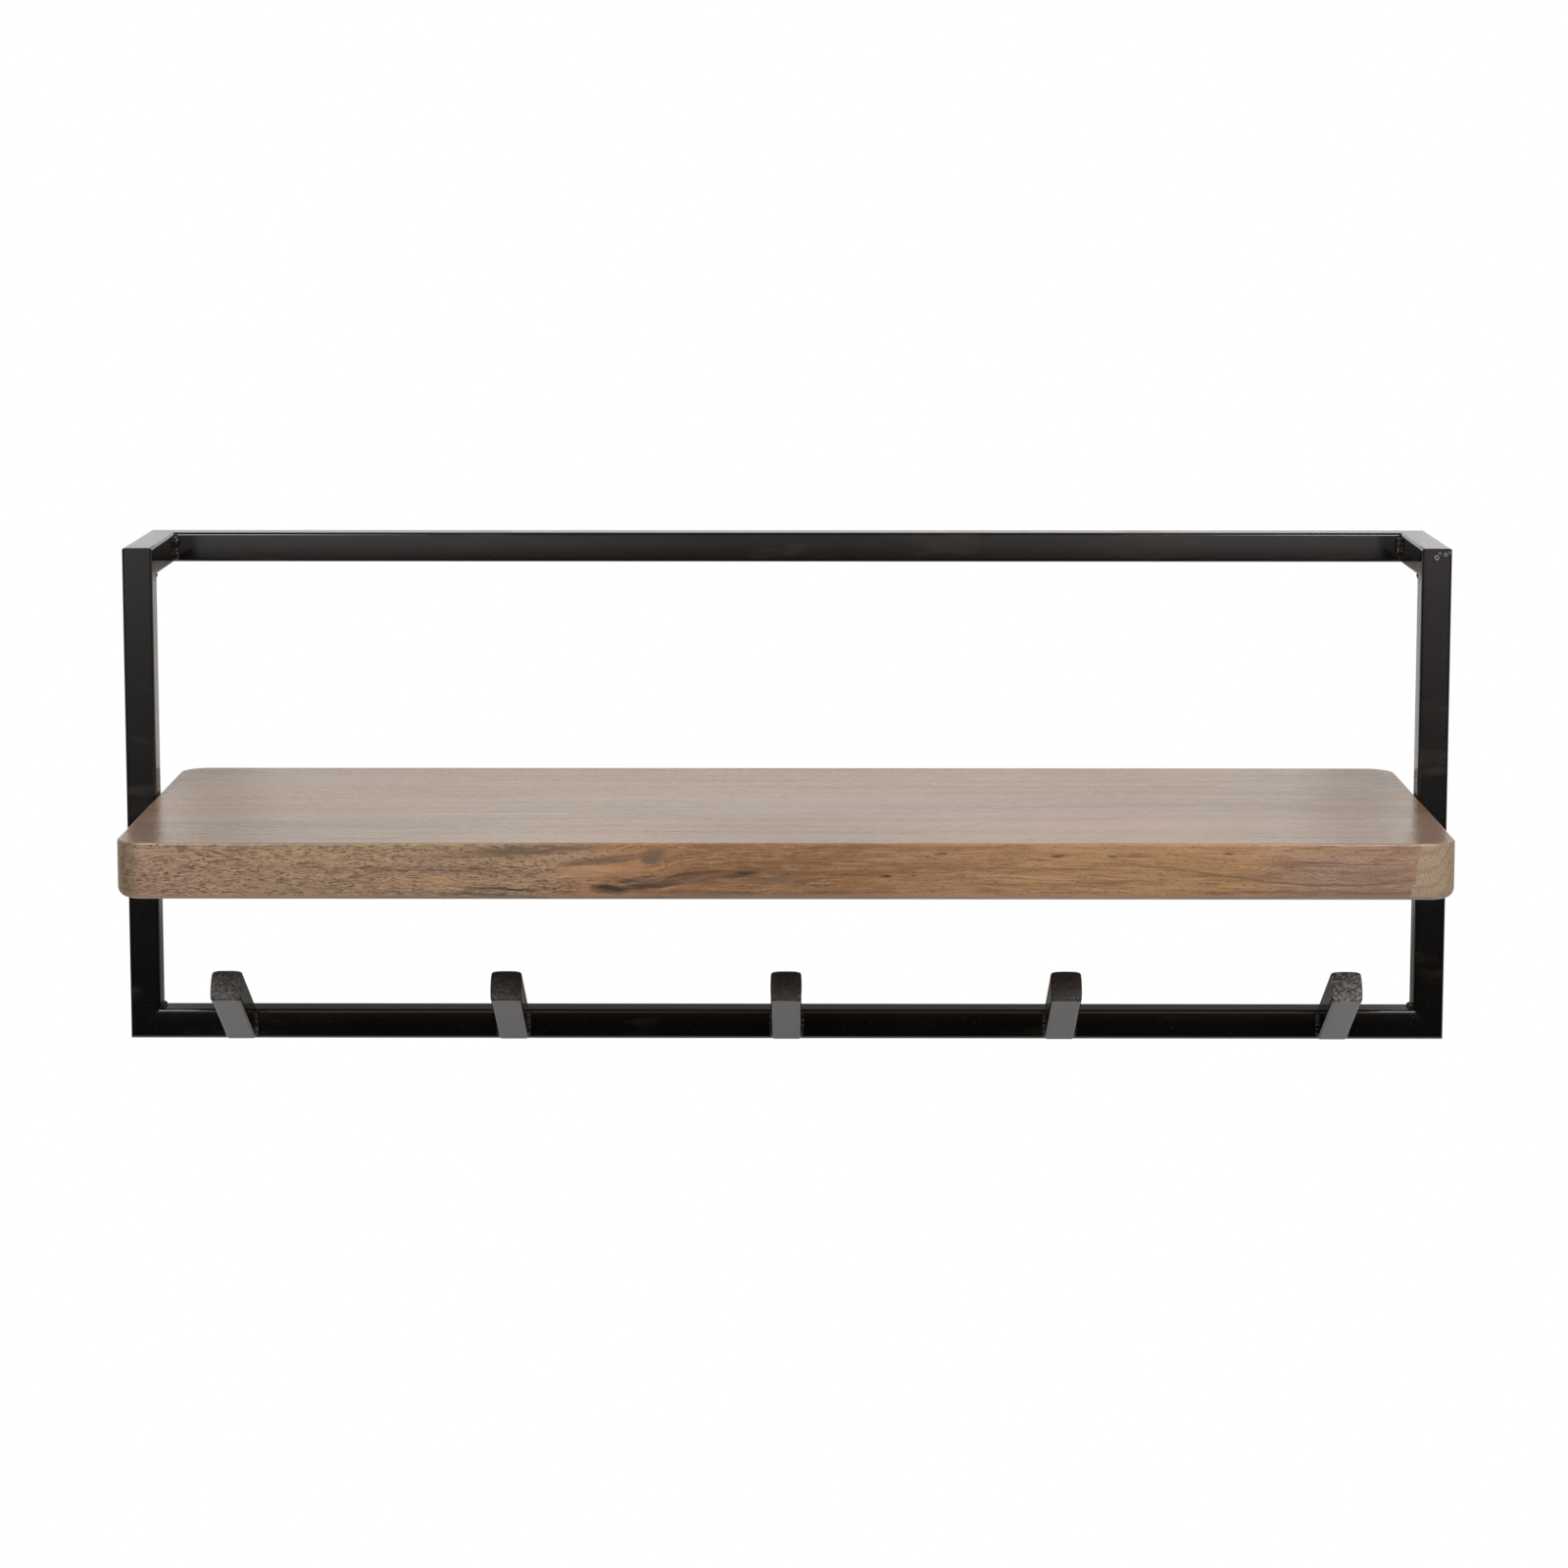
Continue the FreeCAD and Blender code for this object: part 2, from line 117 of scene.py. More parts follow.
# Weld beads: how far each reaches along its two faces
REAR_BEAD_LEGS = (3.4 * MM, 3.0 * MM)
UPPER_BEAD_LEGS = (8.5 * MM, 4.8 * MM)
LOWER_BEAD_LEGS = (2.9 * MM, 2.5 * MM)
HOOK_SIDE_BEAD_LEGS = (2.0 * MM, 1.7 * MM)
HOOK_CAP_REACH = 4.6 * MM
BRACKET_BEAD_LEGS = (2.6 * MM, 2.6 * MM)
BEAD_STEPS = 10
BEAD_ROW = 0.3 * MM
BEAD_LEAST_ROWS = 12

RIGHT = Vector((1.0, 0.0, 0.0))
FORWARD = Vector((0.0, -1.0, 0.0))
UP = Vector((0.0, 0.0, 1.0))
SLOPE = FORWARD * math.cos(math.radians(HOOK_SLOPE_DEG)) + UP * math.sin(math.radians(HOOK_SLOPE_DEG))
LIFT = UP * math.cos(math.radians(HOOK_SLOPE_DEG)) - FORWARD * math.sin(math.radians(HOOK_SLOPE_DEG))
HOOK_TUBE_LENGTH = HOOK_REACH / math.cos(math.radians(HOOK_SLOPE_DEG)) - PLUG_FLANGE


# ---------------------------------------------------------------- node trees

class Tree:
    """Short ways to add nodes to a material's or the world's node tree. Each returns an output socket."""

    def __init__(self, node_tree):
        self.nodes = node_tree.nodes
        self.links = node_tree.links

    def fill(self, socket, value):
        if isinstance(value, bpy.types.NodeSocket):
            self.links.new(value, socket)
        elif value is not None:
            socket.default_value = value

    def add(self, kind, inputs=None, output=0, **settings):
        node = self.nodes.new(kind)
        for key, value in settings.items():
            setattr(node, key, value)
        for key, value in (inputs or {}).items():
            self.fill(node.inputs[key], value)
        return node.outputs[output]

    def maths(self, operation, first, second=None):
        return self.add("ShaderNodeMath", {0: first, 1: second}, operation=operation)

    def vectors(self, operation, first, second=None, output=0):
        return self.add("ShaderNodeVectorMath", {0: first, 1: second}, output=output, operation=operation)

    def scaled(self, vector, factor):
        return self.add("ShaderNodeVectorMath", {0: vector, "Scale": factor}, operation="SCALE")

    def place(self):
        return self.add("ShaderNodeTexCoord", output="Object")

    def noise(self, vector, scale, detail=2.0, roughness=0.5, output=0):
        return self.add(
            "ShaderNodeTexNoise",
            {"Vector": vector, "Scale": scale, "Detail": detail, "Roughness": roughness},
            output=output)

    def spread(self, value, low, high, to_low=0.0, to_high=1.0, smooth=True):
        """Map a value from one range to another, held at both ends."""
        return self.add(
            "ShaderNodeMapRange",
            {"Value": value, "From Min": low, "From Max": high, "To Min": to_low, "To Max": to_high},
            interpolation_type="SMOOTHSTEP" if smooth else "LINEAR")

    def ramp(self, factor, stops, interpolation="LINEAR"):
        """A colour ramp from (position, colour) pairs."""
        socket = self.add("ShaderNodeValToRGB", {0: factor})
        ramp = socket.node.color_ramp
        ramp.interpolation = interpolation
        while len(ramp.elements) < len(stops):
            ramp.elements.new(1.0)
        for element, (position, colour) in zip(ramp.elements, stops):
            element.position = position
            element.color = (*colour, 1.0)
        return socket

    def mix(self, factor, first, second, how="MIX"):
        colours = [(*c, 1.0) if isinstance(c, tuple) else c for c in (first, second)]
        return self.add(
            "ShaderNodeMixRGB", {"Fac": factor, "Color1": colours[0], "Color2": colours[1]}, blend_type=how)

    def bump(self, height, distance=1.0):
        return self.add("ShaderNodeBump", {"Height": height, "Distance": distance, "Strength": 1.0})

    def split(self, vector, axis):
        return self.add("ShaderNodeSeparateXYZ", {0: vector}, output=axis)


def new_material(name):
    """A material with its tree helper and its Principled shader."""
    material = bpy.data.materials.new(name)
    material.use_nodes = True
    return material, Tree(material.node_tree), material.node_tree.nodes["Principled BSDF"]


# ---------------------------------------------------------------- paint, plastic and zinc

PAINT = (0.0036, 0.003, 0.0026)
# Pale grey painted on the raised rims of the pin holes: a painted highlight.
PIT_RIM_HIGHLIGHT = (0.30, 0.29, 0.28)
ORANGE_PEEL = 0.008 * MM
WAVINESS = 0.022 * MM
CROWN = 0.13 * MM
PIT_DEPTH = 0.35
PIT_REACH = 1.7
RIM_SHOWS = 0.10 * MM
RIM_FULL = 0.26 * MM
SMEAR = (0.0125, 0.0102, 0.0072)
DUST = (0.03, 0.028, 0.025)


def crowned(tree, place, centre, across):
    """How far a tube's slightly bulging faces fall away from their middle lines, in metres."""
    offset = tree.vectors("MULTIPLY", tree.vectors("SUBTRACT", place, centre), across)
    offset = tree.scaled(offset, 2.0 / TUBE)
    return tree.maths("MULTIPLY", tree.vectors("DOT_PRODUCT", offset, offset, output="Value"), -CROWN)


def pits(tree, place, centres):
    """Small pin holes with raised rims, in metres."""
    total = None
    for centre, radius in centres:
        distance = tree.vectors("LENGTH", tree.vectors("SUBTRACT", place, centre), output="Value")
        wave = tree.maths("COSINE", tree.maths("MULTIPLY", distance, math.pi / radius))
        fade = tree.spread(distance, radius, PIT_REACH * radius, 1.0, 0.0)
        pit = tree.maths("MULTIPLY", tree.maths("MULTIPLY", wave, fade), -PIT_DEPTH * radius)
        total = pit if total is None else tree.maths("ADD", total, pit)
    return total


def paint(name, peel_depth=ORANGE_PEEL, wave_depth=WAVINESS, centre=None, across=None, pit_centres=()):
    """Glossy black paint on steel: orange peel, soft patches of gloss, wiped smears, a little dust, and a
    painted highlight on the raised rims of any pin holes.
    """
    material, tree, shader = new_material(name)
    place = tree.place()
    patches = tree.noise(place, 9.0, 3.0, 0.55)
    wiped = tree.noise(tree.vectors("MULTIPLY", place, (13.0, 13.0, 45.0)), 1.0, 3.0, 0.6)
    smears = tree.spread(wiped, 0.55, 0.72)
    specks = tree.spread(tree.noise(place, 1300.0, 0.0), 0.80, 0.86)
    shader.inputs["IOR"].default_value = 1.5
    smeared = tree.mix(smears, PAINT, SMEAR)
    colour = tree.mix(tree.maths("MULTIPLY", specks, 0.5), smeared, DUST)
    gloss = tree.spread(patches, 0.3, 0.7, 0.07, 0.13)
    gloss = tree.maths("ADD", gloss, tree.maths("MULTIPLY", smears, 0.10))
    tree.fill(shader.inputs["Roughness"], tree.maths("ADD", gloss, tree.maths("MULTIPLY", specks, 0.2)))
    height = tree.maths("MULTIPLY", tree.noise(place, 380.0, 1.0, 0.4), peel_depth)
    height = tree.maths("ADD", height, tree.maths("MULTIPLY", tree.noise(place, 75.0, 2.0, 0.5), wave_depth))
    height = tree.maths("ADD", height, tree.maths("MULTIPLY", specks, 0.01 * MM))
    if centre is not None:
        height = tree.maths("ADD", height, crowned(tree, place, centre, across))
    if pit_centres:
        dents = pits(tree, place, pit_centres)
        height = tree.maths("ADD", height, dents)
        # Painted highlight: the raised rims round the pin holes turn pale grey.
        colour = tree.mix(tree.spread(dents, RIM_SHOWS, RIM_FULL, 0.0, 0.85), colour, PIT_RIM_HIGHLIGHT)
    tree.fill(shader.inputs["Base Color"], colour)
    tree.fill(shader.inputs["Normal"], tree.bump(height))
    return material


def plug_plastic(name, dark, wear_and_sheen_to, pebble_depth):
    """Black moulded plastic with a fine pebble grain, paler in patches. Where dark and wear_and_sheen_to are
    raised, as on the outer plugs, the paler colour is painted sheen.
    """
    material, tree, shader = new_material(name)
    place = tree.place()
    pebbles = tree.add(
        "ShaderNodeTexVoronoi", {"Vector": place, "Scale": 850.0, "Smoothness": 0.5}, feature="SMOOTH_F1")
    uneven = tree.noise(place, 300.0, 3.0, 0.6)
    # Paler patches: uneven tone on the middle plugs, painted sheen on the outer ones.
    wear_and_sheen = tree.spread(tree.noise(place, 420.0, 3.0, 0.65), 0.42, 0.62)
    shader.inputs["IOR"].default_value = 1.5
    tree.fill(shader.inputs["Base Color"], tree.mix(wear_and_sheen, dark, wear_and_sheen_to))
    tree.fill(shader.inputs["Roughness"], tree.spread(uneven, 0.3, 0.7, 0.26, 0.40))
    height = tree.maths("MULTIPLY", pebbles, -pebble_depth)
    height = tree.maths("ADD", height, tree.maths("MULTIPLY", uneven, 0.10 * MM))
    tree.fill(shader.inputs["Normal"], tree.bump(height))
    return material


def screw_zinc():
    """Bright zinc plate with fine turning marks."""
    material, tree, shader = new_material("screw_zinc")
    place = tree.place()
    cloud = tree.noise(place, 300.0, 3.0, 0.6)
    marks = tree.noise(tree.vectors("MULTIPLY", place, (400.0, 400.0, 6000.0)), 1.0, 1.0)
    shader.inputs["Metallic"].default_value = 1.0
    tree.fill(
        shader.inputs["Base Color"],
        tree.ramp(cloud, [(0.3, (0.55, 0.53, 0.48)), (0.7, (0.70, 0.69, 0.66))]))
    tree.fill(shader.inputs["Roughness"], tree.spread(cloud, 0.3, 0.7, 0.22, 0.4))
    tree.fill(shader.inputs["Normal"], tree.bump(marks, 0.02 * MM))
    return material


# ---------------------------------------------------------------- wood

GREY_BROWN = (0.310, 0.198, 0.122)
TAN = (0.318, 0.170, 0.087)
RED_BROWN = (0.250, 0.127, 0.059)
GOLDEN = (0.360, 0.200, 0.096)
ROSE_GREY = (0.305, 0.185, 0.130)
ORANGE = (0.430, 0.245, 0.130)
OLIVE_END_SHADE = (0.110, 0.085, 0.050)
# Dark olive used only for painted shade at the left end of the shelf's front.
DARK_BROWN = (0.110, 0.066, 0.042)
CHARRED = (0.045, 0.029, 0.018)
SMOKE = (0.155, 0.098, 0.062)
PALE = (0.43, 0.31, 0.20)
FIBRE_DARK = (0.080, 0.048, 0.030)
PORE_DARK = (0.060, 0.037, 0.024)
LATE_WOOD = (0.19, 0.125, 0.08)
PITH = (0.0, -0.12, -0.26)
RING_PITCH = 0.0042
SEAM_HALF_WIDTH = 0.0004


def noise_shift(tree, vector, stretch, amount, detail=2.0):
    """A random offset from a stretched noise, as wide as amount in each direction."""
    cloud = tree.noise(tree.vectors("MULTIPLY", vector, stretch), 1.0, detail, 0.5, output="Color")
    return tree.vectors("MULTIPLY", tree.vectors("SUBTRACT", cloud, (0.5, 0.5, 0.5)), amount)


def spot(tree, place, centre, size, tilt_deg):
    """1 in the core of a tilted ellipsoid, falling smoothly to 0 at its surface."""
    local = tree.add(
        "ShaderNodeMapping",
        {"Vector": tree.vectors("SUBTRACT", place, centre), "Rotation": (0.0, math.radians(tilt_deg), 0.0)})
    distance = tree.vectors("LENGTH", tree.vectors("DIVIDE", local, size), output="Value")
    return tree.spread(distance, 0.3, 1.0, 1.0, 0.0)


def along_board(tree, along, stops):
    """A ramp of colours from the shelf's left end to its right end."""
    across = tree.spread(along, -SHELF_HALF_LENGTH, SHELF_HALF_LENGTH, smooth=False)
    return tree.ramp(across, stops, "EASE")


def level_along_board(tree, along, stops):
    """A ramp of plain values from the shelf's left end to its right end."""
    return along_board(tree, along, [(position, (level, level, level)) for position, level in stops])


def wavy_line(tree, place, first, last, level, swing, length, half_height, strength):
    """A thin growth line that waves along the shelf's front, in metres; swing is its rise and fall."""
    along = tree.split(place, "X")
    turn = tree.maths("MULTIPLY", tree.maths("SUBTRACT", along, first), 2 * math.pi / length)
    middle = tree.maths("ADD", tree.maths("MULTIPLY", tree.maths("COSINE", turn), swing), level)
    gap = tree.maths("ABSOLUTE", tree.maths("SUBTRACT", tree.split(place, "Z"), middle))
    ends = tree.maths(
        "MULTIPLY", tree.spread(along, first, first + 0.03), tree.spread(along, last, last - 0.03))
    return tree.maths("MULTIPLY", tree.spread(gap, 0.0, half_height, strength, 0.0), ends)


def bent_grain(tree, place, start, curl, knots):
    """Where each point lies in the grain, which wanders, curls in places and bulges round the knots."""
    line = tree.vectors("ADD", start, noise_shift(tree, start, (3.0, 9.0, 9.0), (0.0, 0.03, 0.03)))
    ripple = noise_shift(tree, start, (50.0, 110.0, 110.0), (0.0, 0.0058, 0.0058), 1.0)
    line = tree.vectors("ADD", line, tree.scaled(ripple, curl))
    for centre, size, tilt in knots:
        near = spot(tree, place, centre, tuple(3.0 * s for s in size), tilt)
        away = tree.vectors("MULTIPLY", tree.vectors("SUBTRACT", place, centre), (0.0, -0.55, -0.55))
        line = tree.vectors("ADD", line, tree.scaled(away, near))
    return line


def grain_noise(tree, line, pitch, detail=2.0, roughness=0.5):
    """Noise drawn out along the grain; pitch is its fineness along and across."""
    return tree.noise(tree.vectors("MULTIPLY", line, (pitch[0], pitch[1], pitch[1])), 1.0, detail, roughness)


def blend_two(tree, first, second, share):
    """share of the first value and the rest of the second."""
    rest = tree.maths("MULTIPLY", second, 1.0 - share)
    return tree.maths("ADD", tree.maths("MULTIPLY", first, share), rest)


def wood_ground(tree, along, start, tone, tints):
    """The board's colour along its length, lightened and darkened by its streaks."""
    shade = tree.ramp(tone, [
        (0.34, (0.50, 0.47, 0.45)), (0.43, (0.78, 0.76, 0.74)), (0.50, (0.98, 0.98, 0.98)),
        (0.57, (1.12, 1.12, 1.11)), (0.68, (1.38, 1.40, 1.42))])
    drift = tree.maths("SUBTRACT", grain_noise(tree, start, (9.0, 40.0), 3.0), 0.5)
    along = tree.maths("ADD", along, tree.maths("MULTIPLY", drift, 0.14))
    return tree.mix(1.0, along_board(tree, along, tints), shade, "MULTIPLY")


def growth_rings(tree, colour, start, line):
    """Thin, broken darker lines."""
    rings = grain_noise(tree, line, (1.2, 30.0), 1.0, 0.4)
    ring = tree.spread(tree.maths("SINE", tree.maths("MULTIPLY", rings, 90.0)), 0.86, 1.0)
    ring = tree.maths("MULTIPLY", ring, tree.spread(tree.noise(start, 11.0, 2.0), 0.48, 0.66))
    return tree.mix(tree.maths("MULTIPLY", ring, 0.45), colour, DARK_BROWN)


def fibres(tree, colour, line, curl, crowd):
    """Dark and light dashes, shorter where the grain curls, and fine pores.

    Returns the colour and how deep they lie, in metres.
    """
    short = grain_noise(tree, line, (120.0, 1400.0), 2.0, 0.6)
    long = grain_noise(tree, line, (45.0, 1000.0), 3.0, 0.6)
    dashes = tree.add(
        "ShaderNodeMix", {"Factor": tree.spread(curl, 0.25, 0.7), "A": long, "B": short},
        data_type="FLOAT")
    fine = grain_noise(tree, line, (330.0, 1900.0), 1.0)
    dark = tree.maths("MULTIPLY", tree.spread(dashes, 0.52, 0.62), crowd)
    light = tree.maths("MULTIPLY", tree.spread(dashes, 0.48, 0.38), crowd)
    pore = tree.maths("MULTIPLY", tree.spread(fine, 0.60, 0.66), tree.maths("ADD", crowd, 0.15))
    colour = tree.mix(tree.maths("MULTIPLY", dark, 0.66), colour, FIBRE_DARK)
    colour = tree.mix(tree.maths("MULTIPLY", light, 0.58), colour, PALE)
    colour = tree.mix(tree.maths("MULTIPLY", pore, 0.75), colour, PORE_DARK)
    pore_depth = tree.maths("MULTIPLY", pore, -0.015 * MM)
    return colour, tree.maths("ADD", tree.maths("MULTIPLY", dark, -0.012 * MM), pore_depth)


def end_grain(tree, colour, place, seed, amount):
    """Gritty pale wood, with rings round a pith below the board."""
    from_pith = tree.vectors("SUBTRACT", place, (PITH[0], PITH[1] + 0.02 * seed, PITH[2]))
    from_pith = tree.vectors("MULTIPLY", from_pith, (0.0, 1.0, 1.0))
    waver = noise_shift(tree, place, (20.0, 20.0, 20.0), (0.0, 0.008, 0.008))
    from_pith = tree.vectors("ADD", from_pith, waver)
    radius = tree.vectors("LENGTH", from_pith, output="Value")
    turn = tree.maths("MULTIPLY", radius, 2 * math.pi / RING_PITCH)
    late = tree.spread(tree.maths("SINE", turn), 0.2, 1.0)
    grit = tree.noise(place, 950.0, 3.0, 0.65)
    pale = tree.ramp(
        grit, [(0.32, (0.22, 0.15, 0.10)), (0.5, (0.37, 0.275, 0.185)), (0.68, (0.47, 0.37, 0.26))])
    pale = tree.mix(tree.maths("MULTIPLY", late, 0.35), pale, LATE_WOOD)
    return tree.mix(tree.maths("MULTIPLY", amount, 0.85), colour, pale)


def patch_amount(tree, place, along, broad, edge_at):
    """1 past a rough, slanted edge on the board's front, where end grain shows, and 0 on its broad faces."""
    slant = tree.maths("MULTIPLY", tree.split(place, "Z"), -0.22)
    rough = tree.split(noise_shift(tree, place, (70.0, 70.0, 160.0), (0.008, 0.008, 0.008), 3.0), "X")
    edge = tree.maths("ADD", tree.maths("ADD", along, rough), slant)
    return tree.maths(
        "MULTIPLY", tree.spread(edge, edge_at, edge_at + 0.0015), tree.spread(broad, 0.5, 0.9, 1.0, 0.0))


def stains_and_painted_shade(tree, colour, place, start, line, marks, waves, glue_lines):
    """Knots, smoky and pale patches with streaky edges, long growth lines, and the glued seams; some of the
    patches are painted shade.
    """
    feather = noise_shift(tree, start, (45.0, 260.0, 260.0), (0.012, 0.0, 0.0045), 4.0)
    feathered = tree.vectors("ADD", place, feather)
    strand = grain_noise(tree, line, (22.0, 620.0), 2.0, 0.6)
    strand = tree.spread(strand, 0.36, 0.64, -0.45, 0.45, smooth=False)
    for centre, size, tilt, strength, target in marks:
        streaky = tree.maths("ADD", strand, strength)
        amount = tree.maths("MULTIPLY", spot(tree, feathered, centre, size, tilt), streaky)
        colour = tree.mix(tree.maths("MAXIMUM", amount, 0.0), colour, target)
    for wave in waves:
        colour = tree.mix(wavy_line(tree, feathered, *wave), colour, DARK_BROWN)
    for glue_y in glue_lines:
        gap = tree.maths("ABSOLUTE", tree.maths("SUBTRACT", tree.split(place, "Y"), glue_y))
        seam = tree.spread(gap, SEAM_HALF_WIDTH / 4, SEAM_HALF_WIDTH, 0.6, 0.0)
        colour = tree.mix(seam, colour, DARK_BROWN)
    return colour


def wood(name, seed, tints, curls, knots=(), marks=(), waves=(), glue_lines=(), end_patch=None):
    """Lacquered wood with its grain along X.

    tints colour the board along its length, and curls say how much its fibres curl there. knots bend
    the grain; marks are (centre, size, tilt, strength, colour) patches; waves are long growth lines;
    glue_lines are the seams' Y places; end_patch is where a paler patch of end grain starts.
    """
    material, tree, shader = new_material(name)
    place = tree.place()
    normal = tree.add("ShaderNodeNewGeometry", output="Normal")
    along = tree.split(place, "X")
    start = tree.vectors("ADD", place, (seed * 1.37, seed * 0.61, seed * 0.43))
    broad = tree.spread(tree.maths("ABSOLUTE", tree.split(normal, "Z")), 0.3, 0.9)
    facing_out = tree.maths("ABSOLUTE", tree.split(normal, "X"))

    curl = level_along_board(tree, along, curls)
    curl = tree.maths("MULTIPLY", curl, tree.spread(broad, 0.0, 1.0, 1.0, 0.2))
    line = bent_grain(tree, place, start, curl, knots)
    streak = grain_noise(tree, line, (10.0, 330.0), 3.0, 0.6)
    figure = grain_noise(tree, start, (38.0, 150.0), 3.0, 0.6)
    bands = grain_noise(tree, line, (2.2, 60.0))
    tone = blend_two(tree, bands, blend_two(tree, streak, figure, 0.8), 0.47)
    # Painted sheen: on the broad faces the grain's contrast is lowered and the colour is mixed toward PALE,
    # standing in for the lacquer's grazing reflection.
    contrast = tree.spread(broad, 0.0, 1.0, 1.0, 0.6)
    tone = tree.maths("ADD", tree.maths("MULTIPLY", tree.maths("SUBTRACT", tone, 0.5), contrast), 0.5)
    colour = wood_ground(tree, along, start, tone, tints)
    colour = tree.mix(tree.maths("MULTIPLY", broad, 0.12), colour, PALE)
    colour = growth_rings(tree, colour, start, line)

    crowd = tree.spread(curl, 0.0, 1.0, 0.4, 1.0)
    crowd = tree.maths("MULTIPLY", crowd, tree.spread(figure, 0.35, 0.6, 0.8, 1.15))
    crowd = tree.maths("MULTIPLY", crowd, tree.spread(broad, 0.0, 1.0, 1.0, 0.45))
    colour, depth = fibres(tree, colour, line, curl, crowd)

    end = tree.spread(facing_out, 0.25, 0.75)
    if end_patch is not None:
        end = tree.maths("MAXIMUM", end, patch_amount(tree, place, along, broad, end_patch))
    colour = end_grain(tree, colour, place, seed, end)
    colour = stains_and_painted_shade(tree, colour, place, start, line, marks, waves, glue_lines)
    tree.fill(shader.inputs["Base Color"], colour)

    shader.inputs["IOR"].default_value = 1.5
    shader.inputs["Coat Roughness"].default_value = 0.12
    tree.fill(shader.inputs["Coat Weight"], tree.spread(facing_out, 0.1, 0.6, 0.14, 0.0))
    tree.fill(shader.inputs["Specular IOR Level"], tree.spread(facing_out, 0.1, 0.6, 0.5, 0.12))
    dull = tree.spread(facing_out, 0.1, 0.6, 0.0, 0.25)
    tree.fill(shader.inputs["Roughness"], tree.maths("ADD", tree.spread(tone, 0.36, 0.66, 0.30, 0.20), dull))
    height = tree.maths("ADD", depth, tree.maths("MULTIPLY", streak, 0.008 * MM))
    height = tree.maths("MULTIPLY", height, tree.spread(broad, 0.0, 1.0, 1.0, 0.15))
    tree.fill(shader.inputs["Normal"], tree.bump(height))
    return material


# ---------------------------------------------------------------- welds and plugs

def add_bead(shape, corner, along, length, first, second, legs, seed, lumps=((0.5, 0.5),)):
    """Add a hand-laid weld bead, with the ripples of its puddles, in the corner between two faces.

    It runs along a direction from corner, and reaches out by legs along first and second. lumps are
    (middle, half length) fractions of the bead where the metal was laid.
    """
    chance = random.Random(seed)
    pitch = chance.uniform(1.5, 1.9) * MM
    rows = max(BEAD_LEAST_ROWS, int(length / BEAD_ROW))
    swell = [chance.uniform(-0.10, 0.10) for _ in range(6)]
    rings = []
    for row in range(rows + 1):
        t = row / rows
        full = max(max(0.0, 1.0 - abs((t - middle) / half) ** 3) for middle, half in lumps) ** 0.5
        phase = (t * length / pitch) % 1.0
        ripple = 0.9 + 0.13 * math.sqrt(max(0.0, 1.0 - (2.0 * phase - 1.0) ** 2))
        wobble = sum(a * math.sin(2 * math.pi * (k + 1) * t + 5.0 * k) for k, a in enumerate(swell)) / 2
        reach = max(0.12, full) * (ripple + wobble)
        lean = 0.35 * MM * math.sin(2 * math.pi * t * 1.7 + seed)
        foot = corner + along * (length * t + lean * 0.4)
        ring = [foot - (first + second) * (0.25 * MM)]
        for step in range(BEAD_STEPS + 1):
            turn = math.radians(-9.0 + 108.0 * step / BEAD_STEPS)
            bow = along * (0.5 * MM * math.sin(math.radians(180.0 * step / BEAD_STEPS)) * full)
            out = first * (legs[0] * reach * math.cos(turn)) + second * (legs[1] * reach * math.sin(turn))
            ring.append(foot + bow + out)
        rings.append([shape.verts.new(point) for point in ring])
    count = len(rings[0])
    for lower, upper in zip(rings, rings[1:]):
        for k in range(count):
            shape.faces.new((lower[k], lower[(k + 1) % count], upper[(k + 1) % count], upper[k]))
    shape.faces.new(rings[0])
    shape.faces.new(list(reversed(rings[-1])))


def add_piece(name, shape, material, node):
    """Turn a finished bmesh into a smooth piece that stands for a CAD node."""
    bmesh.ops.recalc_face_normals(shape, faces=shape.faces)
    for face in shape.faces:
        face.smooth = True
    mesh = bpy.data.meshes.new(name)
    shape.to_mesh(mesh)
    shape.free()
    mesh.materials.append(material)
    piece = bpy.data.objects.new(name, mesh)
    bpy.context.scene.collection.objects.link(piece)
    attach(piece, "root")
    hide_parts(node)
    return piece


def lay_rear_corner_beads(material):
    """Two dabs of weld, one above the other, in each corner behind the arms."""
    low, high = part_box("rear_corner_welds")
    shape = bmesh.new()
    for side in (-1, 1):
        corner = Vector((side * INNER_X, high.y, low.z - 1.0 * MM))
        length = high.z - low.z + 2.0 * MM
        lumps = ((0.27, 0.27), (0.74, 0.26)) if side < 0 else ((0.55, 0.45),)
        add_bead(shape, corner, UP, length, RIGHT * -side, FORWARD, REAR_BEAD_LEGS, 11 + side, lumps)
    add_piece("rear_corner_beads", shape, material, "rear_corner_welds")


def lay_upper_corner_beads(material):
    """A bead under each arm, where it meets the upright's back face."""
    low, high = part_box("upper_corner_welds")
    shape = bmesh.new()
    for side in (-1, 1):
        corner = Vector((side * (INNER_X - 0.5 * MM), low.y, high.z))
        length = TUBE - 3.0 * MM
        add_bead(shape, corner, RIGHT * side, length, FORWARD * -1, UP * -1, UPPER_BEAD_LEGS, 21 + side)
    add_piece("upper_corner_beads", shape, material, "upper_corner_welds")


def lay_lower_corner_beads(material):
    """A small bead in each bottom corner, between the upright and the rail."""
    low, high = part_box("lower_corner_welds")
    shape = bmesh.new()
    for side in (-1, 1):
        corner = Vector((side * INNER_X, low.y - 0.6 * MM, low.z))
        length = high.y - low.y + 1.2 * MM
        add_bead(shape, corner, FORWARD * -1, length, RIGHT * -side, UP, LOWER_BEAD_LEGS, 31 + side)
    add_piece("lower_corner_beads", shape, material, "lower_corner_welds")


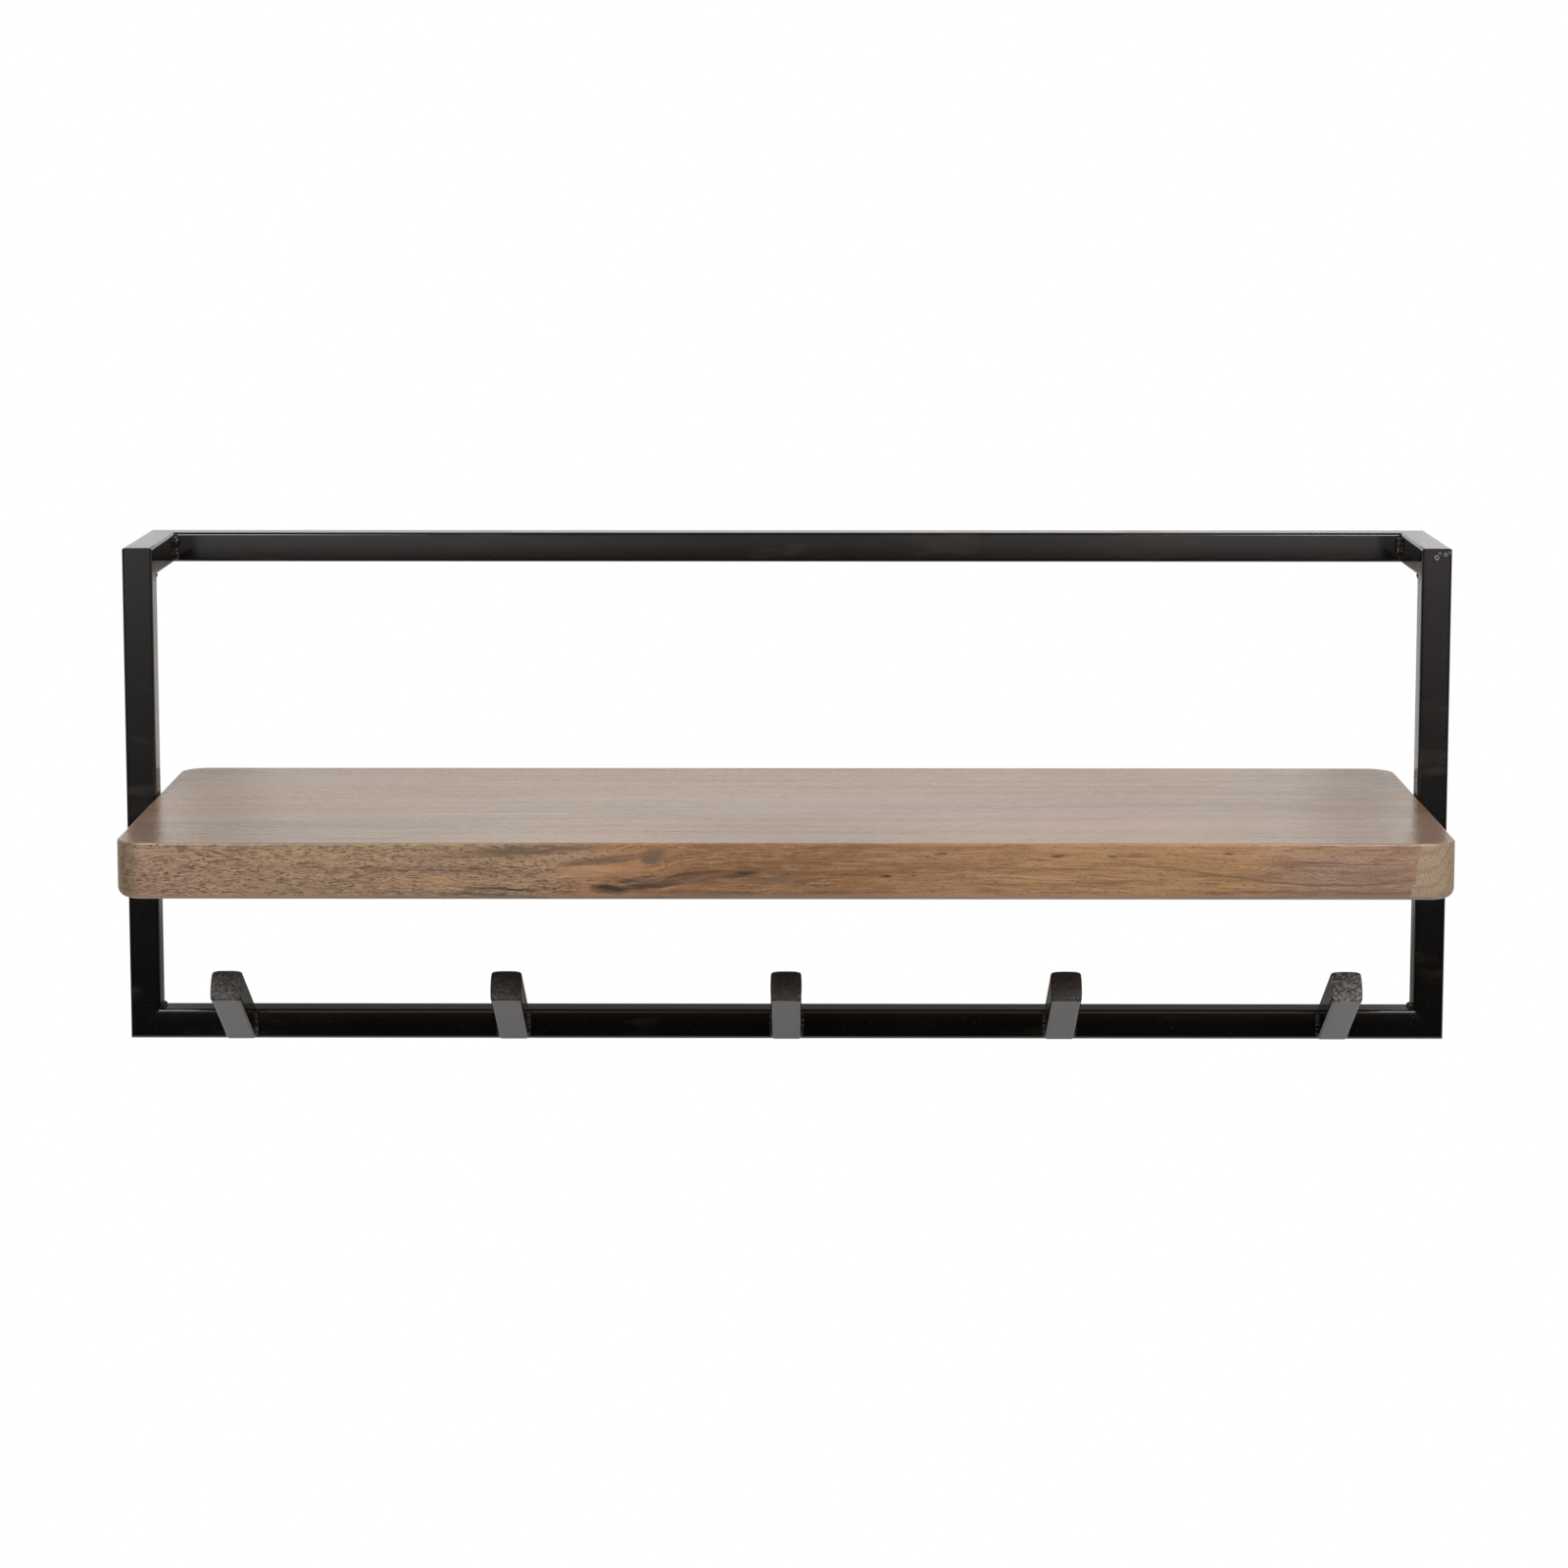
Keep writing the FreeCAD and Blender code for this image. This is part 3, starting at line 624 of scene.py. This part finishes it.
def lay_hook_beads(material):
    """Beads up both sides of each hook's foot, and a cap of weld over the top of it."""
    low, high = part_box("hook_welds")
    shape = bmesh.new()
    for number in range(1, HOOKS + 1):
        hook_low, hook_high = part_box("hook_" + str(number))
        middle_x = (hook_low.x + hook_high.x) / 2
        for side in (-1, 1):
            foot = Vector((middle_x + side * TUBE / 2, RAIL_LOW.y, RAIL_LOW.z + 1.6 * MM))
            add_bead(
                shape, foot, UP, TUBE - 2.4 * MM, RIGHT * side, FORWARD, HOOK_SIDE_BEAD_LEGS,
                40 + 3 * number + side)
        cap = Vector((hook_low.x + 1.6 * MM, RAIL_LOW.y - 0.3 * MM, RAIL_HIGH.z - 0.6 * MM))
        cap_legs = (HOOK_CAP_REACH, high.z - RAIL_HIGH.z + 0.5 * MM)
        add_bead(shape, cap, RIGHT, TUBE - 3.2 * MM, FORWARD * -1, UP, cap_legs, 70 + number)
    add_piece("hook_beads", shape, material, "hook_welds")


def lay_bracket_beads(material):
    """Beads in the grooves between the uprights' rounded edges and the shelf's brackets."""
    low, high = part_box("bracket_welds")
    shape = bmesh.new()
    for side in (-1, 1):
        for face_y, outward in ((RAIL_LOW.y, -1), (RAIL_HIGH.y, 1)):
            foot = Vector((side * INNER_X, face_y - outward * 2.2 * MM, low.z))
            add_bead(
                shape, foot, UP, high.z - low.z, RIGHT * side, FORWARD * -outward, BRACKET_BEAD_LEGS,
                90 + 2 * side + outward)
    add_piece("bracket_beads", shape, material, "bracket_welds")


def outline_point(turn, half, corner_radius, bulge):
    """A point on a square outline with round corners and slightly bulging sides."""
    sharp = 2.0 + 9.0 * (1.0 - corner_radius / half) ** 2
    c, s = math.cos(turn), math.sin(turn)
    reach = (abs(c) ** sharp + abs(s) ** sharp) ** (-1.0 / sharp)
    middle = 1.0 + bulge * (1.0 - min(abs(c), abs(s)) / max(abs(c), abs(s)))
    return Vector((c * reach * half * middle, s * reach * half * middle))


def plug_profile(half):
    """(height above the seat, inset from the outline) from the plug's foot, round its rim and up its dome."""
    profile = [(0.0, 1.3 * MM), (0.12 * MM, 0.35 * MM), (0.35 * MM, 0.0), (PLUG_SHOULDER, -0.05 * MM)]
    for step in range(1, RIM_STEPS + 1):
        turn = math.radians(RIM_TURN_DEG * step / RIM_STEPS)
        profile.append((PLUG_SHOULDER + PLUG_RIM * math.sin(turn), PLUG_RIM * (1.0 - math.cos(turn))))
    rim_height, rim_inset = profile[-1]
    for step in range(1, DOME_STEPS):
        inward = step / DOME_STEPS
        inset = rim_inset + (half - rim_inset) * inward
        profile.append((rim_height + (PLUG_FLANGE - rim_height) * (1.0 - (1.0 - inward) ** 2), inset))
    return profile


def make_plug(number, material):
    """A pillow-shaped plug on a hook's tip, seated just clear of the tube's end."""
    hook_low, hook_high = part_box("hook_" + str(number))
    middle_x = (hook_low.x + hook_high.x) / 2
    half = TUBE / 2
    seat = Vector((middle_x, RAIL_LOW.y, RAIL_LOW.z)) + SLOPE * HOOK_TUBE_LENGTH + LIFT * half
    shape = bmesh.new()
    rings = []
    for height, inset in plug_profile(half):
        scale = (half - inset) / half
        ring = []
        for k in range(PLUG_TURNS):
            flat = outline_point(2 * math.pi * (k + 0.5) / PLUG_TURNS, half, PLUG_CORNER, PLUG_BULGE) * scale
            ring.append(shape.verts.new(seat + RIGHT * flat.x + LIFT * flat.y + SLOPE * height))
        rings.append(ring)
    for lower, upper in zip(rings, rings[1:]):
        for k in range(PLUG_TURNS):
            shape.faces.new((lower[k], lower[(k + 1) % PLUG_TURNS], upper[(k + 1) % PLUG_TURNS], upper[k]))
    tip = shape.verts.new(seat + SLOPE * PLUG_FLANGE)
    foot = shape.verts.new(seat)
    for k in range(PLUG_TURNS):
        shape.faces.new((rings[-1][k], rings[-1][(k + 1) % PLUG_TURNS], tip))
        shape.faces.new((rings[0][(k + 1) % PLUG_TURNS], rings[0][k], foot))
    add_piece("plug_" + str(number), shape, material, "hook_plug_" + str(number))


# ---------------------------------------------------------------- scene

def make_camera():
    """The camera looks slightly down at the rack, as the eye of someone standing before it."""
    data = bpy.data.cameras.new("camera")
    data.lens = CAMERA_LENS_MM
    data.shift_y = CAMERA_SHIFT_Y
    data.clip_end = CAMERA_REACH
    camera = bpy.data.objects.new("camera", data)
    camera.location = CAMERA_PLACE
    camera.rotation_euler = Euler((math.pi / 2 - CAMERA_PITCH, 0.0, -CAMERA_YAW))
    bpy.context.scene.collection.objects.link(camera)
    bpy.context.scene.camera = camera


def make_world():
    """A pale studio all round: bright at eye height before the rack, dark low down there, dim overhead."""
    world = bpy.data.worlds.new("studio")
    world.use_nodes = True
    bpy.context.scene.world = world
    tree = Tree(world.node_tree)
    direction = tree.add("ShaderNodeTexCoord", output="Generated")
    height = tree.split(direction, "Z")
    climb = tree.spread(height, SKY_LOW, SKY_HIGH, smooth=False)
    front = tree.ramp(
        climb,
        [(0.0, (0.025, 0.023, 0.022)), (0.07, (0.03, 0.028, 0.026)), (0.11, (0.18, 0.17, 0.17)),
         (0.145, (0.56, 0.54, 0.53)), (0.17, (1.15, 1.11, 1.09)), (0.25, (1.15, 1.12, 1.10)),
         (0.6, (0.85, 0.85, 0.85)), (1.0, (0.25, 0.25, 0.25))])
    behind = tree.ramp(
        climb,
        [(0.0, (0.8, 0.8, 0.8)), (0.25, (0.9, 0.9, 0.9)), (0.36, (0.45, 0.45, 0.45)),
         (1.0, (0.25, 0.25, 0.25))])
    facing = tree.spread(tree.split(direction, "Y"), -0.5, 0.0)
    across = tree.split(direction, "X")
    light = tree.mix(facing, front, behind)
    sides = tree.ramp(
        tree.spread(across, -1.0, 1.0, smooth=False),
        [(0.0, (0.22, 0.21, 0.20)), (0.15, (0.45, 0.44, 0.43)), (0.35, (1.0, 1.0, 1.0)),
         (0.45, (0.95, 0.94, 0.93)), (0.5, (0.42, 0.40, 0.40)), (0.55, (1.0, 0.96, 0.94)),
         (0.65, (1.08, 1.03, 1.0)), (0.8, (0.5, 0.49, 0.48)), (1.0, (0.3, 0.29, 0.29))])
    light = tree.mix(1.0, light, sides, "MULTIPLY")
    seen = tree.add("ShaderNodeLightPath", output="Is Camera Ray")
    background = world.node_tree.nodes["Background"]
    tree.fill(background.inputs["Color"], tree.mix(seen, light, (1.0, 1.0, 1.0)))
    background.inputs["Strength"].default_value = 1.0


def add_area_light(name, width, height, watts, offset):
    """A rectangular light that stands off from the lit point and faces it."""
    lamp = bpy.data.lights.new(name, "AREA")
    lamp.shape = "RECTANGLE"
    lamp.size = width
    lamp.size_y = height
    lamp.energy = watts
    light = bpy.data.objects.new(name, lamp)
    light.location = LIT_POINT + offset
    light.rotation_euler = offset.to_track_quat("Z", "Y").to_euler()
    bpy.context.scene.collection.objects.link(light)


def make_softbox(name, side):
    """A soft light above and before the rack, off to one side."""
    turn, rise = math.radians(side * SOFTBOX_TURN_DEG), math.radians(SOFTBOX_RISE_DEG)
    away = Vector((math.sin(turn) * math.cos(rise), -math.cos(turn) * math.cos(rise), math.sin(rise)))
    watts = SOFTBOX_GLOW * math.pi * SOFTBOX_WIDTH * SOFTBOX_HEIGHT
    add_area_light(name, SOFTBOX_WIDTH, SOFTBOX_HEIGHT, watts, away * SOFTBOX_DISTANCE)


def make_strip_light():
    """A narrow upright light far to the right, which draws a thin line down the uprights' round edges."""
    add_area_light("strip_light", STRIP_WIDTH, STRIP_HEIGHT, STRIP_WATTS, STRIP_OFFSET)


def make_wall():
    """A pale wall at the rack's back that only its glossy paint and lacquer mirror. Near the rail its colour
    is darkened: painted shade.

    The faces that would lie against it don't mirror it, so that they can be seen from behind.
    """
    mesh = bpy.data.meshes.new("wall")
    corners = [
        (-WALL_REACH, WALL_GAP, -WALL_REACH), (WALL_REACH, WALL_GAP, -WALL_REACH),
        (WALL_REACH, WALL_GAP, WALL_TOP), (-WALL_REACH, WALL_GAP, WALL_TOP)]
    mesh.from_pydata(corners, [], [(0, 1, 2, 3)])
    wall = bpy.data.objects.new("wall", mesh)
    bpy.context.scene.collection.objects.link(wall)
    material, tree, shader = new_material("pale_wall")
    shader.inputs["Roughness"].default_value = 1.0
    shader.inputs["Specular IOR Level"].default_value = 0.0
    place = tree.place()
    cloud = tree.noise(place, CLOUD_SCALE, 3.0)
    pale = tree.ramp(cloud, [(0.3, (0.88, 0.88, 0.87)), (0.7, (0.92, 0.92, 0.91))])
    # Painted shade: the wall goes dark near the rail, deeper than the shelf's own shadow there.
    from_rail = tree.maths("ABSOLUTE", tree.maths("SUBTRACT", tree.split(place, "Z"), RAIL_HIGH.z))
    painted_shade_by_rail = tree.spread(from_rail, WALL_FAR_FROM_RAIL, WALL_NEAR_RAIL)
    tree.fill(shader.inputs["Base Color"], tree.mix(painted_shade_by_rail, pale, WALL_SHADE_BY_RAIL))
    from_mirror = tree.add("ShaderNodeLightPath", output="Ray Length")
    tree.fill(shader.inputs["Alpha"], tree.spread(from_mirror, WALL_CLEAR, 1.5 * WALL_CLEAR))
    wall.data.materials.append(material)
    wall.visible_camera = False
    wall.visible_diffuse = False
    wall.visible_transmission = False
    wall.visible_shadow = False


def make_floor():
    """A pale round floor, far enough below the rack never to hide it."""
    mesh = bpy.data.meshes.new("floor")
    shape = bmesh.new()
    bmesh.ops.create_circle(shape, cap_ends=True, radius=FLOOR_RADIUS, segments=FLOOR_SIDES)
    shape.to_mesh(mesh)
    shape.free()
    floor = bpy.data.objects.new("floor", mesh)
    floor.location = (0.0, 0.0, FLOOR_Z)
    bpy.context.scene.collection.objects.link(floor)
    material, tree, shader = new_material("pale_floor")
    shader.inputs["Roughness"].default_value = 0.9
    cloud = tree.noise(tree.place(), CLOUD_SCALE, 3.0)
    pale = tree.ramp(cloud, [(0.3, (0.80, 0.80, 0.79)), (0.7, (0.84, 0.84, 0.83))])
    tree.fill(shader.inputs["Base Color"], pale)
    tree.fill(shader.inputs["Emission Color"], pale)
    shader.inputs["Emission Strength"].default_value = FLOOR_GLOW
    floor.data.materials.append(material)


def use(material, *names):
    """Give a material to CAD nodes."""
    for name in names:
        slots = nodes[name].data.materials
        slots.clear()
        slots.append(material)


def finish_metal():
    """Paint for each tube, with the crown of its own faces, and for the hooks and brackets."""
    across_x, across_y, across_z = (0.0, 1.0, 1.0), (1.0, 0.0, 1.0), (1.0, 1.0, 0.0)
    post_y = (RAIL_LOW.y + RAIL_HIGH.y) / 2
    post_x = INNER_X + TUBE / 2
    arm_z = TOP_Z - TUBE / 2
    pin_holes = [
        (Vector((post_x - 0.4 * MM, RAIL_LOW.y, TOP_Z - 6.0 * MM)), 1.3 * MM),
        (Vector((post_x + 1.7 * MM, RAIL_LOW.y, TOP_Z - 3.1 * MM)), 0.8 * MM),
        (Vector((post_x + 5.5 * MM, RAIL_LOW.y, TOP_Z - 4.1 * MM)), 1.0 * MM),
        (Vector((post_x + 8.0 * MM, RAIL_LOW.y, TOP_Z - 2.6 * MM)), 0.7 * MM),
    ]
    use(paint("paint_left_upright", centre=(-post_x, post_y, 0.0), across=across_z), "left_upright")
    use(paint(
        "paint_right_upright", centre=(post_x, post_y, 0.0), across=across_z, pit_centres=pin_holes),
        "right_upright")
    use(paint("paint_left_arm", centre=(-post_x, 0.0, arm_z), across=across_y), "left_top_arm")
    use(paint("paint_right_arm", centre=(post_x, 0.0, arm_z), across=across_y), "right_top_arm")
    use(paint("paint_rear_bar", centre=(0.0, -TUBE / 2, arm_z), across=across_x), "rear_top_bar")
    rail_z = (RAIL_LOW.z + RAIL_HIGH.z) / 2
    use(paint("paint_rail", centre=(0.0, post_y, rail_z), across=across_x), "bottom_rail")
    plain = paint("paint_hooks")
    use(plain, "left_shelf_bracket", "right_shelf_bracket")
    new_plug = plug_plastic("plug_new", (0.012, 0.0100, 0.0092), (0.024, 0.0205, 0.019), 0.11 * MM)
    # The outer plugs' paler colours are painted sheen: their brighter reflections put into the plastic.
    sheen_plug = plug_plastic("plug_painted_sheen", (0.028, 0.0262, 0.0255), (0.105, 0.098, 0.094), 0.19 * MM)
    bright_sheen_plug = plug_plastic("plug_painted_bright_sheen", (0.052, 0.047, 0.043), (0.250, 0.228, 0.210), 0.26 * MM)
    plugs = [sheen_plug, new_plug, new_plug, new_plug, bright_sheen_plug]
    for number in range(1, HOOKS + 1):
        use(plain, "hook_" + str(number))
        make_plug(number, plugs[number - 1])
    use(screw_zinc(), "shelf_screws")
    weld = paint("paint_welds", 0.02 * MM, 0.06 * MM)
    lay_rear_corner_beads(weld)
    lay_upper_corner_beads(weld)
    lay_lower_corner_beads(weld)
    lay_hook_beads(weld)
    lay_bracket_beads(weld)


def front_mark(x, z, half_length, half_height, tilt, strength, colour):
    """A mark on the shelf's front face, given in millimetres from its middle and bottom edge."""
    centre = (x * MM, SHELF_FRONT, SHELF_BOTTOM + z * MM)
    return (centre, (half_length * MM, 12.0 * MM, half_height * MM), tilt, strength, colour)


def top_mark(x, y, half_length, half_depth, strength, colour):
    """A mark on the shelf's top, given in millimetres."""
    centre = (x * MM, y * MM, SHELF_TOP)
    return (centre, (half_length * MM, half_depth * MM, 3.0 * MM), 0.0, strength, colour)


def finish_wood():
    """The three boards, each with its own figure. The front one shows knots and stained patches on its face,
    with painted shade along its bottom edge and at its left end.
    """
    seam_front, seam_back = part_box("shelf_board_middle")[0].y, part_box("shelf_board_middle")[1].y
    dark_knot = front_mark(-110, 7.5, 17, 4.2, -4, 1.1, CHARRED)
    grey_knot = front_mark(-83, 28, 12, 8.0, 25, 1.0, SMOKE)
    side_knot = front_mark(-29, 16.5, 18, 2.2, 8, 0.9, CHARRED)
    marks = [
        dark_knot, grey_knot, side_knot,
        front_mark(-88, 9.5, 32, 2.8, 5, 0.95, CHARRED),
        front_mark(-70, 13.0, 44, 4.6, 4, 0.55, DARK_BROWN),
        front_mark(-55, 17.0, 30, 2.2, 8, 0.6, CHARRED),
        front_mark(-92, 14, 22, 1.6, 9, 0.7, CHARRED),
        front_mark(-165, 31.5, 60, 4.6, 4, 0.8, SMOKE),
        front_mark(-112, 26, 42, 3.4, 7, 0.75, SMOKE),
        front_mark(-178, 7.5, 32, 1.6, -3, 0.85, CHARRED),
        front_mark(-190, 4.0, 34, 1.5, -2, 0.75, CHARRED),
        front_mark(-60, 3, 60, 2.2, 1, 0.6, SMOKE),
        front_mark(-8, 12.5, 18, 3.4, 6, 0.8, SMOKE),
        front_mark(-126, 18, 34, 5.0, 4, 0.75, ORANGE),
        front_mark(-220, 12, 40, 6.0, 2, 0.35, ORANGE),
        front_mark(61, 16, 4.5, 0.9, 4, 0.8, CHARRED),
        front_mark(80, 16, 4.0, 0.8, 0, 0.7, CHARRED),
        front_mark(97, 30, 6, 1.0, 4, 0.6, CHARRED),
        front_mark(171, 29, 7, 1.2, 3, 0.6, CHARRED),
        front_mark(203, 28, 6, 1.2, -6, 0.8, CHARRED),
        front_mark(150, 26, 26, 1.6, 3, 0.35, SMOKE),
        front_mark(276, 30, 5, 1.2, 0, 0.7, CHARRED),
        front_mark(140, 3, 120, 3.0, 0, 0.4, (0.40, 0.19, 0.105)),
        front_mark(-396, 30, 30, 5.0, 0, 0.5, (0.36, 0.27, 0.19)),
        # Painted shade: darkens the front board's left end, where its corner turns from the light.
        front_mark(-422, 18, 20, 60.0, 0, 0.9, OLIVE_END_SHADE),
        # These two marks darken the board's rounded bottom edge: painted shade where it turns down from the
        # light.
        front_mark(-150, 0, 260, 3.4, 0, 0.75, DARK_BROWN),
        front_mark(200, 0, 240, 2.4, 0, 0.45, DARK_BROWN),
        top_mark(-300, -240, 150, 60, 0.45, SMOKE),
        top_mark(-89, -247, 3.0, 5.0, 0.7, CHARRED),
        top_mark(-2, -241, 22, 3.0, 0.55, SMOKE),
        top_mark(0, seam_front / MM - 3.5, 420, 2.8, 0.30, PALE),
    ]
    front_curls = [(0.0, 0.9), (0.30, 1.0), (0.38, 0.30), (0.52, 0.30), (0.62, 0.2), (1.0, 0.25)]
    front_tints = [
        (0.0, ROSE_GREY), (0.10, GREY_BROWN), (0.30, GREY_BROWN), (0.37, TAN), (0.44, RED_BROWN),
        (0.54, RED_BROWN), (0.62, TAN), (0.72, GOLDEN), (0.82, GOLDEN), (0.90, ROSE_GREY)]
    knots = [mark[:3] for mark in (dark_knot, grey_knot, side_knot)]
    waves = [
        (0.205, 0.402, SHELF_BOTTOM + 0.0164, 0.0064, 0.270, 0.0010, 0.65),
        (0.290, 0.402, SHELF_BOTTOM + 0.0235, 0.0012, 0.300, 0.0008, 0.55),
        (-0.060, 0.010, SHELF_BOTTOM + 0.0155, 0.0035, 0.150, 0.0010, 0.7),
    ]
    front = wood(
        "shelf_wood_front", 1.0, front_tints, front_curls, knots, marks, waves, (seam_front,),
        0.396 - 0.22 * SHELF_TOP)
    calm = [(0.0, 0.25), (1.0, 0.35)]
    middle_marks = [
        top_mark(0, seam_front / MM + 3.5, 420, 3.5, 0.35, SMOKE),
        top_mark(60, seam_back / MM - 3.0, 380, 2.5, 0.3, PALE),
        top_mark(190, -139, 160, 9.0, 0.25, SMOKE),
        top_mark(320, seam_front / MM + 10.0, 130, 9.0, 0.45, SMOKE),
        top_mark(300, seam_back / MM - 22.0, 110, 7.0, 0.40, PALE),
    ]
    middle = wood(
        "shelf_wood_middle", 5.0, [(0.0, TAN), (0.4, GREY_BROWN), (0.7, ROSE_GREY), (1.0, RED_BROWN)],
        calm, (), middle_marks, (), (seam_front, seam_back))
    back_marks = [
        top_mark(80, seam_back / MM + 4.0, 330, 3.5, 0.25, SMOKE),
        top_mark(-200, -59, 200, 6.0, 0.2, PALE),
        top_mark(330, seam_back / MM + 14.0, 150, 9.0, 0.45, SMOKE),
        top_mark(240, seam_back / MM + 38.0, 170, 8.0, 0.35, RED_BROWN),
    ]
    back = wood(
        "shelf_wood_back", 9.0, [(0.0, GREY_BROWN), (0.35, TAN), (0.7, GOLDEN), (1.0, GREY_BROWN)],
        calm, (), back_marks, (), (seam_back,))
    use(front, "shelf_board_front")
    use(middle, "shelf_board_middle")
    use(back, "shelf_board_back")


bpy.context.scene.view_settings.view_transform = "Standard"
make_camera()
make_world()
make_softbox("softbox_left", -1)
make_softbox("softbox_right", 1)
make_strip_light()
make_wall()
make_floor()
finish_metal()
finish_wood()
